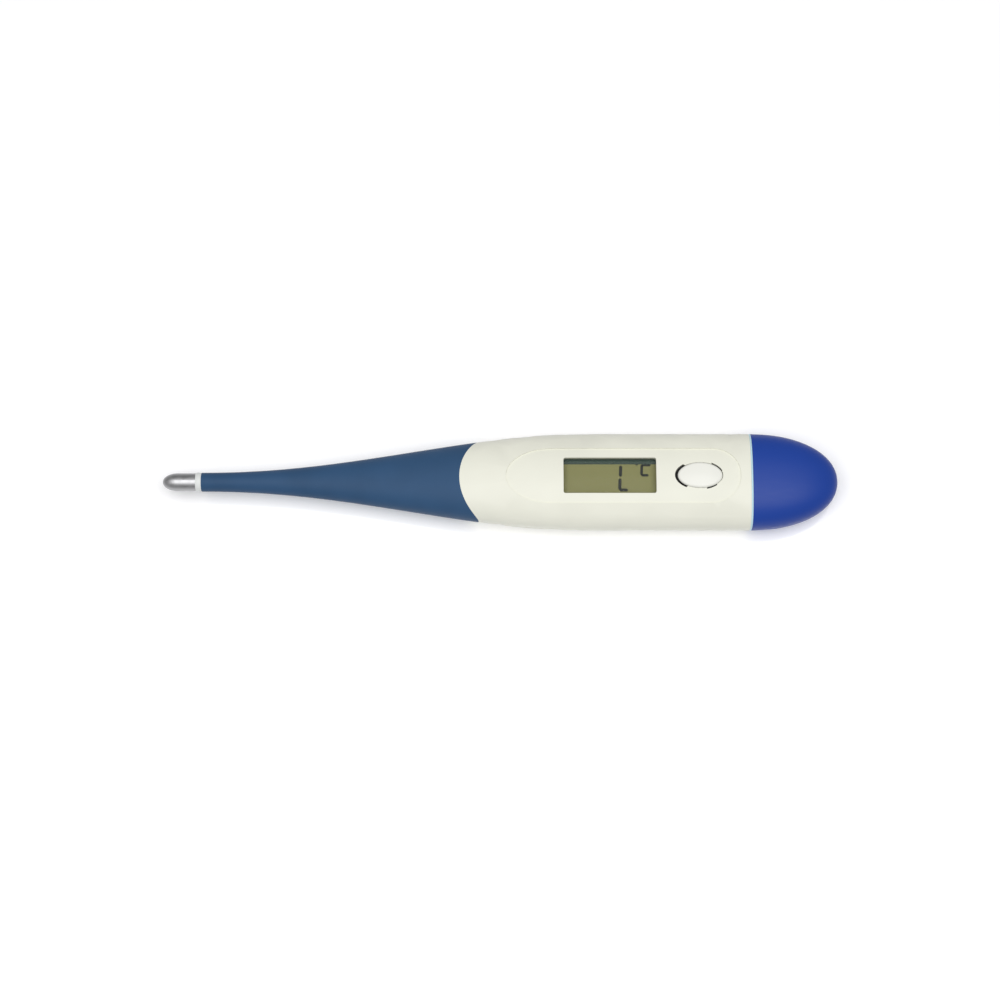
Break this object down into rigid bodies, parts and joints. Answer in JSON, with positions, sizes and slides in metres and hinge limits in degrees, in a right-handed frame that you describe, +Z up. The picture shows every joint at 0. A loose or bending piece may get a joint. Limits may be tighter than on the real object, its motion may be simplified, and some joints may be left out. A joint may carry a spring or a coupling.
{
  "type": "digital thermometer",
  "caption": "Pen-shaped clinical thermometer with a steel tip, bending rubber probe, oval face panel with display and button, and a pull-off battery cap.",
  "frame": {"origin": "under the middle of the whole length, on the surface that the flat back rests on", "axes": "+X from the steel tip to the battery cap, +Z up out of the face, +Y across"},
  "size_m": [0.132, 0.0192, 0.0112],
  "materials": {
    "casing_white": "satin cream-white ABS",
    "button_white": "polished white ABS",
    "cap_blue": "satin royal-blue ABS",
    "sleeve_navy": "fine matt elastomer",
    "collar_pale": "pale ABS",
    "tip_steel": "drawn and polished stainless steel",
    "lens_clear": "clear acrylic",
    "lcd_glass": "display glass",
    "lcd_reflector": "olive reflector film",
    "frame_plastic": "black moulded plastic",
    "chassis_plastic": "natural moulded plastic",
    "zebra_rubber": "carbon-layered silicone",
    "foam": "closed-cell foam",
    "seal_rubber": "black silicone",
    "board_green": "solder mask over glass epoxy",
    "epoxy_black": "black epoxy",
    "chip_ceramic": "ceramic with tinned ends",
    "spring_steel": "nickel-plated spring strip",
    "cell_steel": "nickel-plated can",
    "gasket_nylon": "nylon",
    "brass": "rolled brass",
    "ceramic": "silvered piezo ceramic",
    "wire_enamel": "enamelled copper wire",
    "bead_glass": "glass bead",
    "resin": "cast epoxy resin"
  },
  "bodies": {
    "casing": {"housing": "casing_white", "window_lens": "lens_clear", "sleeve_base": "sleeve_navy", "chassis": "chassis_plastic", "seal_ring": "seal_rubber", "circuit_board": "board_green", "controller_blob": "epoxy_black", "chip_parts": "chip_ceramic", "switch_dome": "spring_steel", "lcd_reflector": "lcd_reflector", "lcd_rear_glass": "lcd_glass", "lcd_front_glass": "lcd_glass", "lcd_front_polariser": "lcd_glass", "lcd_frame": "frame_plastic", "zebra_strip": "zebra_rubber", "lcd_cushion": "foam", "buzzer_plate": "brass", "buzzer_ceramic": "ceramic", "buzzer_pads": "zebra_rubber", "contact_positive": "spring_steel", "contact_negative": "spring_steel", "sensor_leads": "wire_enamel"},
    "button": {"button_cap": "button_white"},
    "cap": {"battery_cap": "cap_blue"},
    "cell": {"cell_can": "cell_steel", "cell_pellet": "epoxy_black", "cell_gasket": "gasket_nylon", "cell_lid": "cell_steel"},
    "flex_1": {"sleeve_section_1": "sleeve_navy"},
    "flex_2": {"sleeve_section_2": "sleeve_navy"},
    "flex_3": {"sleeve_section_3": "sleeve_navy"},
    "flex_4": {"sleeve_section_4": "sleeve_navy", "probe_collar": "collar_pale", "steel_tip": "tip_steel", "thermistor": "bead_glass", "tip_potting": "resin"}
  },
  "joints": [
    {"name": "button_press", "type": "slide", "parent": "casing", "child": "button", "axis": [0, 0, -1], "range_m": [0, 0.0004], "stiffness_N_per_m": 1200, "springref_m": -0.0003, "deforming": ["switch_dome"]},
    {"name": "cap_pull", "type": "slide", "parent": "casing", "child": "cap", "axis": [1, 0, 0], "range_m": [0, 0.02]},
    {"name": "cell_slide", "type": "slide", "parent": "casing", "child": "cell", "axis": [1, 0, 0], "range_m": [0, 0.0082]},
    {"name": "probe_side_1", "type": "hinge", "parent": "casing", "child": "flex_1", "pos_m": [-0.028, 0, 0.0054], "axis": [0, 0, 1], "range_deg": [-15, 15], "stiffness_Nm_per_rad": 0.05, "deforming": ["sensor_leads"]},
    {"name": "probe_lift_1", "type": "hinge", "parent": "flex_1", "child": "flex_2", "pos_m": [-0.035, 0, 0.0054], "axis": [0, 1, 0], "range_deg": [-15, 15], "stiffness_Nm_per_rad": 0.05, "deforming": ["sensor_leads"]},
    {"name": "probe_side_2", "type": "hinge", "parent": "flex_2", "child": "flex_3", "pos_m": [-0.042, 0, 0.0054], "axis": [0, 0, 1], "range_deg": [-15, 15], "stiffness_Nm_per_rad": 0.05, "deforming": ["sensor_leads"]},
    {"name": "probe_lift_2", "type": "hinge", "parent": "flex_3", "child": "flex_4", "pos_m": [-0.049, 0, 0.0054], "axis": [0, 1, 0], "range_deg": [-15, 15], "stiffness_Nm_per_rad": 0.05, "deforming": ["sensor_leads"]}
  ],
  "couplings": [
    {"joint": "probe_side_2", "follows": "probe_side_1", "ratio": 1},
    {"joint": "probe_lift_2", "follows": "probe_lift_1", "ratio": 1}
  ]
}
